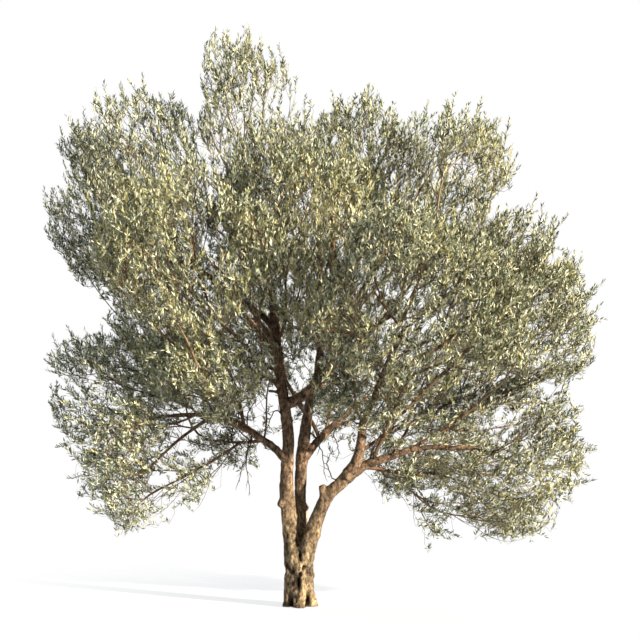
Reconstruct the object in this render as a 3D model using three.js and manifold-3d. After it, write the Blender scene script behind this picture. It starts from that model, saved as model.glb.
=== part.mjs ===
// An old olive tree, grown as three stems from one short trunk.
//
// Millimetres, +Z up. The origin is on the ground, in the middle of the flat cut under the trunk. The
// front of the tree faces -Y, and its right side, seen from there, is +X.
//
// The wood is a lobed trunk with its root flare, three stems, and the boughs that rise from them. Each
// is one tapering limb. The foliage is a shell of uneven masses round a hollow crown. Where two masses
// meet, both are cut flat along the plane between them. Stems and low boughs stay whole and the masses
// are cut round them. Every other bough ends where it enters a mass.
import * as THREE from "three";
import { mergeVertices } from "three/addons/utils/BufferGeometryUtils.js";
import Module from "manifold-3d";

const wasm = await Module();
wasm.setup();

// ---------------------------------------------------------------- driving dimensions

const TRUNK = { height: 590, waist: 136, flare: 34, buttresses: 5, lean: [-8, 0] };
const GAP = 0.3; // clearance between solids that touch
const MASS_GAP = 10; // between two masses of foliage that meet
const FACETS = { trunk: 26, stem: 9, bough: 6, ringsPerMetre: 5, largeMass: 3, smallMass: 2 };
const LARGE_MASS = 1600; // half diagonal of a box round a mass that gets the finer facets
const UNEVEN = 0.06; // how far each wave makes a mass swell and sink, as a share of its radius
const UP = new THREE.Vector3(0, 0, 1);

// ---------------------------------------------------------------- materials

const bark = new THREE.MeshStandardMaterial({ color: 0x7a6350, roughness: 0.95, metalness: 0 });
const foliage = new THREE.MeshStandardMaterial({ color: 0x8b8f66, roughness: 0.7, metalness: 0 });

// ---------------------------------------------------------------- the tree, by name

// Stems: bends of the centreline from root to tip, and radii evenly spaced along it. A stub is a knob
// or a sawn-off limb, given by its share of the way up, its direction, length and radius.
const STEMS = [
  stem("left_stem", [84, 82, 70, 61, 57, 52, 47, 42, 32], [
    [-55, 10, 400], [-72, -15, 600], [-90, -12, 850], [-118, -5, 1150], [-108, 10, 1670],
    [-165, 30, 2120], [-205, 60, 2450], [-240, 70, 2750], [-270, 90, 3060], [-370, 110, 3420],
  ], [
    { at: 0.19, toward: [-1, -0.3, 0.45], length: 104, radius: 36 },
    { at: 0.56, toward: [-1, -0.2, 0.1], length: 150, radius: 15 },
  ]),
  stem("middle_stem", [80, 66, 58, 66, 56, 46, 40], [
    [25, 70, 430], [20, 95, 830], [14, 110, 1120], [30, 120, 1420], [70, 150, 1790],
    [130, 200, 2100], [230, 260, 2450],
  ], [{ at: 0.25, toward: [1, -0.5, 0.6], length: 92, radius: 30 }]),
  stem("right_stem", [86, 80, 68, 64, 66, 48, 34], [
    [45, -40, 420], [112, -70, 660], [185, -95, 880], [285, -125, 1090], [455, -150, 1255],
    [580, -160, 1450], [640, -130, 1850],
  ], [{ at: 0.42, toward: [-0.1, -0.15, 1], length: 135, radius: 40 }]),
];

// Low boughs, in plain view under the crown. Each leaves its parent at a share of the way along it,
// and runs to a tip, arched above the straight line by its rise.
const LOW_BOUGHS = [
  bough("left_bough", "left_stem", 0.34, [-1010, -90, 1885], [40, 32, 22], { rise: 110 }),
  bough("left_bough_end", "left_bough", 1, [-1710, -160, 1740], [21, 17, 12], { rise: 50 }),
  bough("left_lower_bough", "left_bough", 0.84, [-1580, 60, 1250], [18, 14, 10], { rise: 60 }),
  bough("crossing_bough", "left_stem", 0.52, [400, 120, 2520], [50, 52, 44], { rise: -110 }),
  bough("right_bough", "right_stem", 0.62, [1090, -250, 1545], [52, 40, 30], { rise: 30 }),
  bough("right_bough_end", "right_bough", 1, [1720, -320, 1560], [29, 24, 18], { rise: 20 }),
  bough("middle_right_bough", "middle_stem", 0.5, [680, 260, 2060], [46, 34, 26], { rise: 30 }),
];

// High boughs, each aimed into the mass it carries.
const HIGH_BOUGHS = [
  bough("left_high_bough", "left_stem", 0.56, [-900, -500, 2900], [20, 14], { rise: 60 }),
  bough("back_left_bough", "left_stem", 0.66, [-950, 1100, 3300], [28, 22], { rise: 80 }),
  bough("left_reaching_bough", "left_stem", 0.78, [-1750, 60, 3650], [30, 26, 20], { rise: 120 }),
  bough("front_left_bough", "left_stem", 0.7, [-800, -900, 3300], [25, 18], { rise: 60 }),
  bough("back_top_bough", "middle_stem", 0.96, [200, 1100, 3900], [38, 26], { rise: 90 }),
  bough("back_right_bough", "middle_stem", 0.8, [1050, 1200, 3000], [34, 26], { rise: 90 }),
  bough("upper_right_bough", "crossing_bough", 0.96, [1150, 250, 4000], [42, 28], { rise: 120 }),
  bough("upper_middle_bough", "crossing_bough", 0.8, [350, 60, 4100], [32, 24], { rise: 60 }),
  bough("front_right_bough", "right_stem", 0.93, [1000, -1000, 2700], [32, 24], { rise: 60 }),
  bough("right_reaching_bough", "front_right_bough", 0.4, [2050, -200, 2850], [26, 18], { rise: 60 }),
];

// Masses of foliage: the middle of each, and its half sizes across, in depth and up.
const MASSES = [
  mass("top_centre_mass", [-490, 80, 4950], [590, 800, 690]),
  mass("top_left_mass", [-1670, 120, 4470], [740, 940, 650]),
  mass("left_upper_mass", [-1830, 80, 3810], [620, 960, 750]),
  mass("left_front_mass", [-1000, -1250, 3440], [820, 900, 850]),
  mass("left_lower_mass", [-1860, -80, 2020], [690, 1000, 850]),
  mass("left_inner_mass", [-930, -480, 2370], [640, 740, 600]),
  mass("inner_left_mass", [-620, 300, 1700], [480, 380, 390]),
  mass("inner_right_mass", [430, 540, 1940], [420, 330, 450]),
  mass("left_hanging_mass", [-1520, 0, 1230], [620, 640, 390]),
  mass("centre_mass", [0, -450, 4030], [860, 950, 780]),
  mass("upper_centre_mass", [540, 250, 4560], [530, 850, 620]),
  mass("top_right_mass", [1480, 100, 4330], [710, 950, 700]),
  mass("right_upper_mass", [2040, 0, 3420], [590, 1050, 590]),
  mass("right_middle_mass", [2320, 0, 2900], [690, 1050, 700]),
  mass("right_lower_mass", [2110, 250, 1500], [720, 940, 860]),
  mass("right_inner_mass", [1140, 400, 1720], [620, 720, 760]),
  mass("right_near_mass", [640, -560, 2320], [500, 430, 580]),
  mass("middle_mass", [130, -420, 2960], [440, 400, 500]),
  mass("right_hanging_mass", [1340, 100, 840], [180, 230, 340]),
  mass("right_front_mass", [1130, -1300, 2940], [900, 900, 900]),
  mass("back_left_mass", [-1150, 1450, 3200], [1000, 950, 1050]),
  mass("back_centre_mass", [130, 1550, 2700], [720, 800, 720]),
  mass("back_right_mass", [1300, 1450, 3000], [1050, 950, 1100]),
  mass("back_top_mass", [50, 1300, 4150], [950, 900, 800]),
];

// ---------------------------------------------------------------- what a row of the tables holds

function stem(name, radii, bends, stubs) {
  return { name, radii, stubs, bends: bends.map((b) => new THREE.Vector3(...b)), sides: FACETS.stem };
}

function bough(name, parent, leavesAt, tip, radii, { rise }) {
  return { name, parent, leavesAt, tip, radii, rise, stubs: [], sides: FACETS.bough };
}

function mass(name, middle, half) {
  return { name, middle: new THREE.Vector3(...middle), half: new THREE.Vector3(...half) };
}

// ---------------------------------------------------------------- helpers

// A repeatable stream of numbers from 0 to 1.
function randomStream(seed) {
  let state = (seed * 2654435761) | 1;
  return () => {
    state = (state + 0x6d2b79f5) | 0;
    let mixed = Math.imul(state ^ (state >>> 15), 1 | state);
    mixed ^= mixed + Math.imul(mixed ^ (mixed >>> 7), 61 | mixed);
    return ((mixed ^ (mixed >>> 14)) >>> 0) / 4294967296;
  };
}

// A closed surface through rings of points, all with the same count, with a fan over each end.
function loft(rings) {
  const sides = rings[0].length;
  const middle = (ring) =>
    ring.reduce((sum, p) => sum.add(p), new THREE.Vector3()).divideScalar(sides);
  const points = [...rings.flat(), middle(rings[0]), middle(rings.at(-1))];
  const foot = rings.length * sides;
  const top = foot - sides;
  const index = [];
  for (let side = 0; side < sides; side++) {
    const next = (side + 1) % sides;
    for (let ring = 0; ring + 1 < rings.length; ring++) {
      const [a, b] = [ring * sides + side, ring * sides + next];
      index.push(a, b, b + sides, a, b + sides, a + sides);
    }
    index.push(foot, next, side, foot + 1, top + side, top + next);
  }
  return new THREE.BufferGeometry().setFromPoints(points).setIndex(index);
}

// A geometry as a manifold-3d solid, and back.
function solidOf(geometry) {
  const bare = geometry.clone();
  bare.deleteAttribute("normal");
  bare.deleteAttribute("uv");
  const merged = mergeVertices(bare, 1e-3);
  return new wasm.Manifold(
    new wasm.Mesh({
      numProp: 3,
      vertProperties: new Float32Array(merged.attributes.position.array),
      triVerts: new Uint32Array(merged.index.array),
    }),
  );
}

function geometryOf(solid) {
  const { vertProperties, triVerts } = solid.getMesh();
  const geometry = new THREE.BufferGeometry();
  geometry.setAttribute("position", new THREE.BufferAttribute(vertProperties, 3));
  geometry.setIndex(new THREE.BufferAttribute(triVerts, 1));
  geometry.computeVertexNormals();
  return geometry;
}

const cutAll = (solid, cutters) => cutters.reduce((left, cutter) => left.subtract(cutter), solid);

// What is left of a solid after its cuts: the biggest body, or the body nearest to a point.
const biggest = (solid) =>
  solid.decompose().reduce((best, body) => (body.volume() > best.volume() ? body : best));

function nearest(solid, point) {
  const distance = (body) => {
    const { vertProperties } = body.getMesh();
    let least = Infinity;
    for (let i = 0; i < vertProperties.length; i += 3) {
      const corner = new THREE.Vector3().fromArray(vertProperties, i);
      least = Math.min(least, corner.distanceTo(point));
    }
    return least;
  };
  return solid.decompose().reduce((best, body) => (distance(body) < distance(best) ? body : best));
}

// ---------------------------------------------------------------- trunk

// A leaning column with a root flare, its section folded into buttresses that fade out upwards.
function trunkSolid(grow = 0) {
  const heights = [0, 25, 65, 130, 220, 330, 430, 510, TRUNK.height];
  const rings = heights.map((z) => {
    const up = z / TRUNK.height;
    const spread = TRUNK.flare * Math.exp(-z / 95);
    const fold = 7 + 18 * Math.exp(-z / 170);
    const shoulder = 1 - 0.25 * THREE.MathUtils.smoothstep(up, 0.84, 1);
    return Array.from({ length: FACETS.trunk }, (_, i) => {
      const angle = (2 * Math.PI * i) / FACETS.trunk;
      const buttress = Math.cos(TRUNK.buttresses * angle + 0.9 + 0.8 * up);
      const hollow = 0.5 * Math.cos(3 * angle - 1.2 + 2.2 * up);
      const radius = (TRUNK.waist + spread + fold * (buttress + hollow)) * shoulder + grow;
      return new THREE.Vector3(
        TRUNK.lean[0] * up + radius * Math.cos(angle),
        TRUNK.lean[1] * up + radius * 0.94 * Math.sin(angle),
        z + (z > 0 ? grow : 0),
      );
    });
  });
  return solidOf(loft(rings));
}

// ---------------------------------------------------------------- limbs

// Radii are evenly spaced along a limb, and the radius runs straight from one to the next.
function radiusAt(radii, t) {
  const place = t * (radii.length - 1);
  const before = Math.min(Math.floor(place), radii.length - 2);
  return THREE.MathUtils.lerp(radii[before], radii[before + 1], place - before);
}

// A tapering tube along a curve, its section a little uneven.
function tube(curve, radii, sides, grow) {
  const steps = Math.max(4, Math.round((curve.getLength() / 1000) * FACETS.ringsPerMetre));
  const frames = curve.computeFrenetFrames(steps);
  const rings = frames.tangents.map((tangent, step) => {
    const t = step / steps;
    const end = step === 0 ? -grow : step === steps ? grow : 0;
    const centre = curve.getPointAt(t).addScaledVector(tangent, end);
    const radius = radiusAt(radii, t);
    return Array.from({ length: sides }, (_, i) => {
      const angle = (2 * Math.PI * i) / sides;
      const uneven = 1 + 0.05 * Math.sin(2 * angle + 5 * t) + 0.03 * Math.sin(3 * angle - 9 * t);
      return centre
        .clone()
        .addScaledVector(frames.normals[step], Math.cos(angle) * (radius * uneven + grow))
        .addScaledVector(frames.binormals[step], Math.sin(angle) * (radius * uneven + grow));
    });
  });
  return solidOf(loft(rings));
}

// The centreline of a bough: from its parent's centreline to its tip, arched upwards.
function boughCurve({ parent, leavesAt, tip, rise }, curves) {
  const start = curves[parent].getPointAt(leavesAt);
  const end = new THREE.Vector3(...tip);
  const shares = [0, 0.2, 0.5, 0.8, 1];
  const points = shares.map((share) => {
    const arch = rise * Math.sin(Math.PI * share);
    return start.clone().lerp(end, share).addScaledVector(UP, arch);
  });
  return new THREE.CatmullRomCurve3(points, false, "centripetal");
}

// A limb with its knobs and sawn-off stubs joined on.
function limbSolid({ name, radii, sides, stubs }, curves, grow = 0) {
  const curve = curves[name];
  return stubs.reduce((solid, { at, toward, length, radius }) => {
    const start = curve.getPointAt(at);
    const end = start.clone().addScaledVector(new THREE.Vector3(...toward).normalize(), length);
    const axis = new THREE.LineCurve3(start, end);
    return solid.add(tube(axis, [radius * 1.25, radius], FACETS.bough, grow));
  }, tube(curve, radii, sides, grow));
}

// ---------------------------------------------------------------- masses of foliage

// A rounded body, uneven all over by a few slow waves that cross it in directions of their own.
function blob({ middle, half }, seed, grow) {
  const random = randomStream(seed);
  const waves = Array.from({ length: 7 }, () => ({
    toward: new THREE.Vector3(random() - 0.5, random() - 0.5, random() - 0.5).normalize(),
    pace: 2.5 + 3.5 * random(),
    phase: 2 * Math.PI * random(),
  }));
  const detail = half.length() > LARGE_MASS ? FACETS.largeMass : FACETS.smallMass;
  const geometry = new THREE.IcosahedronGeometry(1, detail);
  const { position } = geometry.attributes;
  const point = new THREE.Vector3();
  for (let i = 0; i < position.count; i++) {
    point.fromBufferAttribute(position, i).normalize();
    const swell = waves.reduce(
      (sum, { toward, pace, phase }) => sum + Math.sin(point.dot(toward) * pace + phase),
      0,
    );
    const outward = point.clone().multiplyScalar(grow);
    point.multiplyScalar(1 + UNEVEN * swell).multiply(half).add(middle).add(outward);
    position.setXYZ(i, point.x, point.y, point.z);
  }
  return solidOf(geometry);
}

// The plane between two masses that meet: its normal, from the first to the second, and how far along
// the normal it lies. It shares the distance out by their reach toward each other.
function planeBetween(first, second) {
  const normal = second.middle.clone().sub(first.middle);
  const distance = normal.length();
  normal.normalize();
  const reach = ({ half }) => 1 / normal.clone().divide(half).length();
  const [a, b] = [reach(first), reach(second)];
  return {
    meets: distance < 1.35 * (a + b),
    normal,
    offset: first.middle.dot(normal) + (distance * a) / (a + b),
  };
}

// A mass, cut flat where it meets each of the others.
function massSolid(row, grow = 0) {
  let solid = blob(row, MASSES.indexOf(row) + 1, grow);
  for (const other of MASSES) {
    if (other === row) continue;
    const { meets, normal, offset } = planeBetween(row, other);
    if (!meets) continue;
    solid = solid.trimByPlane(normal.clone().negate().toArray(), -(offset - MASS_GAP / 2 + grow));
  }
  return biggest(solid);
}

// ---------------------------------------------------------------- the tree

function mesh(name, solid, material) {
  const result = new THREE.Mesh(geometryOf(solid), material);
  result.name = name;
  return result;
}

// Stems and boughs, each cut back to the surface of everything it grows from or passes. Low boughs
// are kept whole. High boughs are cut off by the masses they enter, and their near part is kept.
function wood() {
  const curves = {};
  const parts = [{ name: "trunk", solid: trunkSolid() }];
  const cutters = [trunkSolid(GAP)];
  for (const row of STEMS) {
    curves[row.name] = new THREE.CatmullRomCurve3(row.bends, false, "centripetal");
    const solid = cutAll(limbSolid(row, curves), cutters);
    parts.push({ name: row.name, solid: biggest(solid) });
    cutters.push(limbSolid(row, curves, GAP));
  }
  for (const row of LOW_BOUGHS) {
    curves[row.name] = boughCurve(row, curves);
    const solid = cutAll(limbSolid(row, curves), cutters);
    parts.push({ name: row.name, solid: biggest(solid) });
    cutters.push(limbSolid(row, curves, GAP));
  }
  const lowCutters = [...cutters];
  const massCutters = MASSES.map((row) => massSolid(row, GAP));
  for (const row of HIGH_BOUGHS) {
    curves[row.name] = boughCurve(row, curves);
    const root = curves[row.name].getPointAt(0);
    const solid = cutAll(limbSolid(row, curves), [...cutters, ...massCutters]);
    parts.push({ name: row.name, solid: nearest(solid, root) });
    cutters.push(limbSolid(row, curves, GAP));
  }
  return { parts, lowCutters };
}

function oliveTree() {
  const tree = new THREE.Group();
  tree.name = "olive_tree";
  const { parts, lowCutters } = wood();
  for (const { name, solid } of parts) tree.add(mesh(name, solid, bark));
  for (const row of MASSES) {
    const solid = biggest(cutAll(massSolid(row), lowCutters));
    tree.add(mesh(row.name, solid, foliage));
  }
  return tree;
}

export default oliveTree();
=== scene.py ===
"""An olive tree: a lobed trunk, three stems, their boughs, and a crown of leafy sprays.

The limbs follow the centrelines of the CAD part. The sprays fill the masses of foliage of the CAD
part: each mass gets its own shoots, which are joined to the limbs by a seeded branching rule.
"""

import math

import bpy
import numpy as np
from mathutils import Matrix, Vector
from mathutils.bvhtree import BVHTree


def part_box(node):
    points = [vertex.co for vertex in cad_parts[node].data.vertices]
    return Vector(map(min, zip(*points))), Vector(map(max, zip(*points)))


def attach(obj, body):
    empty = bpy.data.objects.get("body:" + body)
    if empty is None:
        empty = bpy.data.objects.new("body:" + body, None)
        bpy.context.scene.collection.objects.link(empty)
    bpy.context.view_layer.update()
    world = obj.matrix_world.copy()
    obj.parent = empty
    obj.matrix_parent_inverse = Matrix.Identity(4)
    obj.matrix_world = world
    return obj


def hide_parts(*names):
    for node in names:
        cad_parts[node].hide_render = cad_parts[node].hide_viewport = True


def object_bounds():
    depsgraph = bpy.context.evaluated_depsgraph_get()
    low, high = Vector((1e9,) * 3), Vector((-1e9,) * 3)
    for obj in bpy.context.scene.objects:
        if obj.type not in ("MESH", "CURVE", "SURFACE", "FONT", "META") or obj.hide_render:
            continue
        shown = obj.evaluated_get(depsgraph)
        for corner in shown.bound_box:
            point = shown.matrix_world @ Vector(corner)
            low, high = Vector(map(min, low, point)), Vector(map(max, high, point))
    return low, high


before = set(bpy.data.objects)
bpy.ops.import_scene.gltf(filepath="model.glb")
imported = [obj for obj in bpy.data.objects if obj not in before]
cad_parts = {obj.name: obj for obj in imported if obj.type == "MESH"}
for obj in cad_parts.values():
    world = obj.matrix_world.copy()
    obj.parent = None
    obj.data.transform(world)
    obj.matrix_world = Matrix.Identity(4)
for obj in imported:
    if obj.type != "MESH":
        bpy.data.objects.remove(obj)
cad_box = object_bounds()

rng = np.random.default_rng(20)
UP = np.array([0.0, 0.0, 1.0])

# ------------------------------------------------------------------ limbs, in metres

# The trunk, stems and boughs follow the same centrelines and radii as the CAD's.
TRUNK_HEIGHT = 0.59
TRUNK_WAIST = 0.136
TRUNK_FLARE = 0.034
BUTTRESSES = 5
TRUNK_LEAN = (-0.008, 0.0)
TRUNK_RINGS = 40
TRUNK_SIDES = 72
STEM_SIDES = 24
STUB_SIDES = 16
BOUGH_SIDES = 12
LIMB_STEP = 0.025  # distance between the points of a centreline, about
SKIN_VOXEL = 0.0095  # size of the cells that join the trunk and stems under one skin
FULL_RELIEF = 0.075  # bark that stands in or out by half of this gets the darkest painted shade or the palest painted highlight

# Stems: radii evenly spaced along the centreline, and its bends from root to tip.
STEMS = {
    "left_stem": (
        (0.084, 0.082, 0.070, 0.061, 0.057, 0.052, 0.047, 0.042, 0.032),
        (
            (-0.055, 0.010, 0.400),
            (-0.072, -0.015, 0.600),
            (-0.090, -0.012, 0.850),
            (-0.118, -0.005, 1.150),
            (-0.108, 0.010, 1.670),
            (-0.165, 0.030, 2.120),
            (-0.205, 0.060, 2.450),
            (-0.240, 0.070, 2.750),
            (-0.270, 0.090, 3.060),
            (-0.370, 0.110, 3.420),
        ),
    ),
    "middle_stem": (
        (0.080, 0.066, 0.058, 0.066, 0.056, 0.046, 0.040),
        (
            (0.025, 0.070, 0.430),
            (0.020, 0.095, 0.830),
            (0.014, 0.110, 1.120),
            (0.030, 0.120, 1.420),
            (0.070, 0.150, 1.790),
            (0.130, 0.200, 2.100),
            (0.230, 0.260, 2.450),
        ),
    ),
    "right_stem": (
        (0.086, 0.080, 0.068, 0.064, 0.066, 0.048, 0.034),
        (
            (0.045, -0.040, 0.420),
            (0.112, -0.070, 0.660),
            (0.185, -0.095, 0.880),
            (0.285, -0.125, 1.090),
            (0.455, -0.150, 1.255),
            (0.580, -0.160, 1.450),
            (0.640, -0.130, 1.850),
        ),
    ),
}

# Knobs and sawn-off stubs, a little fuller than the CAD's: stem, share of the way up, direction, length
# and radius.
STUBS = (
    ("left_stem", 0.19, (-1.0, -0.3, 0.55), 0.112, 0.047),
    ("left_stem", 0.15, (-1.0, -0.3, 0.5), 0.070, 0.048),
    ("left_stem", 0.56, (-1.0, -0.2, 0.1), 0.150, 0.015),
    ("middle_stem", 0.25, (1.0, -0.5, 0.6), 0.088, 0.038),
    ("right_stem", 0.42, (-0.22, -0.15, 1.0), 0.150, 0.040),
)

# Boughs: parent, share of the way along it, tip, radii, and how far they arch above a straight line.
BOUGHS = {
    "left_bough": ("left_stem", 0.34, (-1.010, -0.090, 1.885), (0.040, 0.032, 0.022), 0.110),
    "left_bough_end": ("left_bough", 1.0, (-1.710, -0.160, 1.740), (0.021, 0.017, 0.012), 0.050),
    "left_lower_bough": ("left_bough", 0.84, (-1.580, 0.060, 1.250), (0.018, 0.014, 0.010), 0.060),
    "crossing_bough": ("left_stem", 0.52, (0.400, 0.120, 2.520), (0.050, 0.052, 0.044), -0.110),
    "right_bough": ("right_stem", 0.62, (1.090, -0.250, 1.545), (0.052, 0.040, 0.030), 0.030),
    "right_bough_end": ("right_bough", 1.0, (1.720, -0.320, 1.560), (0.029, 0.024, 0.018), 0.020),
    "middle_right_bough": ("middle_stem", 0.5, (0.680, 0.260, 2.060), (0.046, 0.034, 0.026), 0.030),
    "left_high_bough": ("left_stem", 0.56, (-0.900, -0.500, 2.900), (0.020, 0.014), 0.060),
    "back_left_bough": ("left_stem", 0.66, (-0.950, 1.100, 3.300), (0.028, 0.022), 0.080),
    "left_reaching_bough": ("left_stem", 0.78, (-1.750, 0.060, 3.650), (0.030, 0.026, 0.020), 0.120),
    "front_left_bough": ("left_stem", 0.7, (-0.800, -0.900, 3.300), (0.025, 0.018), 0.060),
    "back_top_bough": ("middle_stem", 0.96, (0.200, 1.100, 3.900), (0.038, 0.026), 0.090),
    "back_right_bough": ("middle_stem", 0.8, (1.050, 1.200, 3.000), (0.034, 0.026), 0.090),
    "upper_right_bough": ("crossing_bough", 0.96, (1.150, 0.250, 4.000), (0.042, 0.028), 0.120),
    "upper_middle_bough": ("crossing_bough", 0.8, (0.350, 0.060, 4.100), (0.032, 0.024), 0.060),
    "front_right_bough": ("right_stem", 0.93, (1.000, -1.000, 2.700), (0.032, 0.024), 0.060),
    "right_reaching_bough": ("front_right_bough", 0.4, (2.050, -0.200, 2.850), (0.026, 0.018), 0.060),
}

# ------------------------------------------------------------------ foliage

SHOOTS = 15000  # leafy shoots in the whole crown
SHOOT_LENGTH = (0.12, 0.26)
LEAST_DEPTH = 0.01  # how far inside its mass a shoot's tip must be
TRIES = 4000  # places tried at a time
SHELL = 0.30  # depth in a mass over which shoot tips thin out to a third
LONG_DEPTH = 0.08  # within this depth some shoots are long, and stand out of their mass
LONG_SHARE = 0.35
LONG_REACH = (0.05, 0.20)
PROUD = 0.045  # how far outside the solids' box a tip may be
CLUMPS = 2.3  # clumps of shoots per metre, about
CROWN_MIDDLE = np.array([0.15, 0.0, 2.9])
CROWN_HALF = np.array([2.85, 2.45, 2.9])
CROWN_FOOT = 0.6  # about the height of the lowest leaves
CROWN_HEIGHT = 5.0
LEAF_SPACING = 0.0100
LEAF_LENGTH = (0.043, 0.068)
LEAF_WIDTH = 0.225  # as a share of the length
LEAF_LIFT = 0.50  # how strongly leaves turn upright
FINE_DEPTH = 0.035  # shoots whose tips are nearer to the skin of their mass have leaves of four faces
TWIG_RADIUS = 0.0015
PIPE_POWER = 2.5  # a branch's radius to this power is the sum of its children's

# How thickly each mass is leafed, where it isn't 1.
DENSITY = {
    "back_centre_mass": 0.8,
    "back_left_mass": 0.85,
    "back_right_mass": 0.85,
    "back_top_mass": 0.8,
    "centre_mass": 1.25,
    "inner_left_mass": 0.85,
    "inner_right_mass": 0.6,
    "left_front_mass": 1.2,
    "left_inner_mass": 1.4,
    "left_hanging_mass": 0.85,
    "left_lower_mass": 0.9,
    "middle_mass": 1.3,
    "right_front_mass": 1.15,
    "right_hanging_mass": 0.9,
    "right_inner_mass": 1.2,
    "right_lower_mass": 1.3,
    "right_middle_mass": 1.15,
    "right_near_mass": 1.2,
    "top_centre_mass": 0.62,
    "upper_centre_mass": 0.75,
}

# Where the crown is opener or thicker than elsewhere, seen from the front: x, z, reach, and how
# thickly it is leafed there, as a share of the usual.
OPENINGS = (
    (-0.79, 4.66, 0.25, 0.35),
    (0.00, 4.75, 0.22, 0.45),
    (0.38, 4.66, 0.22, 0.45),
    (0.75, 4.72, 0.20, 0.50),
    (-0.25, 4.25, 0.16, 0.45),
    (-0.77, 3.58, 0.13, 0.00),
    (-1.15, 1.85, 0.25, 0.25),
    (-0.42, 1.95, 0.22, 0.30),
    (0.05, 2.30, 0.20, 0.30),
    (0.80, 1.45, 0.20, 0.45),
    (-1.60, 3.02, 0.30, 0.30),
    (-2.00, 5.05, 0.25, 0.30),
    (-1.55, 1.15, 0.20, 0.60),
    (2.45, 3.85, 0.28, 0.25),
    (1.15, 4.72, 0.20, 1.80),
    (2.00, 4.30, 0.25, 1.60),
    (2.75, 3.45, 0.22, 1.80),
    (2.70, 1.90, 0.30, 1.90),
    (2.10, 1.55, 0.40, 1.40),
)

# ------------------------------------------------------------------ helpers


def unit(vectors):
    return vectors / np.maximum(np.linalg.norm(vectors, axis=-1, keepdims=True), 1e-9)


def lattice_noise(points, seed):
    """Smooth noise from -1 to 1 that changes over a distance of 1, for an array of points."""
    cell = np.floor(points).astype(np.int64)
    part = points - cell
    part = part * part * part * (part * (part * 6 - 15) + 10)
    total = np.zeros(len(points))
    for corner in np.ndindex(2, 2, 2):
        corner = np.array(corner)
        key = cell + corner
        mixed = key[:, 0] * 73856093 ^ key[:, 1] * 19349663 ^ key[:, 2] * 83492791 ^ seed * 2654435761
        mixed = (mixed ^ (mixed >> 13)) * 1274126177 & 0x7FFFFFFF
        mixed = (mixed ^ (mixed >> 15)) * 40503 & 0x7FFFFFFF
        value = (mixed & 0xFFFFF) / 0x7FFFF - 1
        share = np.where(corner == 1, part, 1 - part).prod(axis=1)
        total += value * share
    return total


def smooth_curve(bends, count):
    """count points evenly spaced along a smooth curve through the bends (centripetal Catmull-Rom)."""
    bends = np.asarray(bends, float)
    padded = np.vstack([2 * bends[0] - bends[1], bends, 2 * bends[-1] - bends[-2]])
    dense = []
    steps = np.linspace(0, 1, 24, endpoint=False)[:, None]
    for p0, p1, p2, p3 in zip(padded, padded[1:], padded[2:], padded[3:]):
        a, b, c = (max(np.linalg.norm(q - p) ** 0.5, 1e-4) for p, q in ((p0, p1), (p1, p2), (p2, p3)))
        out = ((p1 - p0) / a - (p2 - p0) / (a + b) + (p2 - p1) / b) * b
        into = ((p2 - p1) / b - (p3 - p1) / (b + c) + (p3 - p2) / c) * b
        square = -3 * p1 + 3 * p2 - 2 * out - into
        cube = 2 * p1 - 2 * p2 + out + into
        dense.append(p1 + out * steps + square * steps**2 + cube * steps**3)
    dense = np.vstack([*dense, bends[-1:]])
    along = np.concatenate([[0], np.cumsum(np.linalg.norm(np.diff(dense, axis=0), axis=1))])
    wanted = np.linspace(0, along[-1], count)
    return np.column_stack([np.interp(wanted, along, dense[:, axis]) for axis in range(3)])


def length_of(path):
    return float(np.linalg.norm(np.diff(path, axis=0), axis=1).sum())


def spread(values, count):
    """Evenly spaced values along a limb, read at count places."""
    return np.interp(np.linspace(0, 1, count), np.linspace(0, 1, len(values)), values)


def mesh_piece(name, points, faces, materials, slots=None, smooth=True):
    """A mesh object from an array of points and an array of triangles or quads."""
    mesh = bpy.data.meshes.new(name)
    mesh.vertices.add(len(points))
    mesh.vertices.foreach_set("co", np.asarray(points, np.float32).ravel())
    mesh.loops.add(faces.size)
    mesh.loops.foreach_set("vertex_index", faces.astype(np.int32).ravel())
    mesh.polygons.add(len(faces))
    starts = np.arange(0, faces.size, faces.shape[1], dtype=np.int32)
    mesh.polygons.foreach_set("loop_start", starts)
    for material in materials:
        mesh.materials.append(material)
    if slots is not None:
        mesh.polygons.foreach_set("material_index", slots.astype(np.int32))
    mesh.polygons.foreach_set("use_smooth", np.full(len(faces), smooth))
    mesh.update(calc_edges=True)
    mesh.validate()
    piece = bpy.data.objects.new(name, mesh)
    bpy.context.scene.collection.objects.link(piece)
    return piece


# ------------------------------------------------------------------ materials


def plain_material(name, colour, roughness, specular=0.5):
    material = bpy.data.materials.new(name)
    material.use_nodes = True
    shader = material.node_tree.nodes["Principled BSDF"]
    shader.inputs["Base Color"].default_value = (*colour, 1)
    shader.inputs["Roughness"].default_value = roughness
    shader.inputs["Specular IOR Level"].default_value = specular
    return material


# Leaves, from the dark upper sides to the silvery undersides, and a cream paler than a leaf that stands in
# for a painted highlight.
LEAF_COLOURS = {
    "leaf_deep_green": (0.036, 0.042, 0.018),
    "leaf_dull_blue": (0.078, 0.108, 0.088),
    "leaf_green": (0.088, 0.106, 0.050),
    "leaf_grey_green": (0.165, 0.195, 0.128),
    "leaf_olive": (0.230, 0.215, 0.085),
    "leaf_blue_grey": (0.255, 0.295, 0.225),
    "leaf_yellow_green": (0.430, 0.405, 0.190),
    "leaf_silver": (0.455, 0.475, 0.375),
    # cream: paler than a real leaf, a painted highlight
    "leaf_cream": (0.675, 0.655, 0.490),
}
LEAVES = [plain_material(name, colour, 0.40, 0.5) for name, colour in LEAF_COLOURS.items()]
LEAF_NAMES = list(LEAF_COLOURS)

TWIG_COLOURS = {
    "twig_brown": (0.105, 0.068, 0.045),
    "twig_red_brown": (0.150, 0.082, 0.050),
    "twig_tan": (0.230, 0.160, 0.100),
}
TWIGS = [plain_material(name, colour, 0.8, 0.3) for name, colour in TWIG_COLOURS.items()]
DEAD_TWIG = plain_material("twig_dead", (0.045, 0.032, 0.024), 0.85, 0.2)


def link(tree, output, socket):
    tree.links.new(output, socket)
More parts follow.
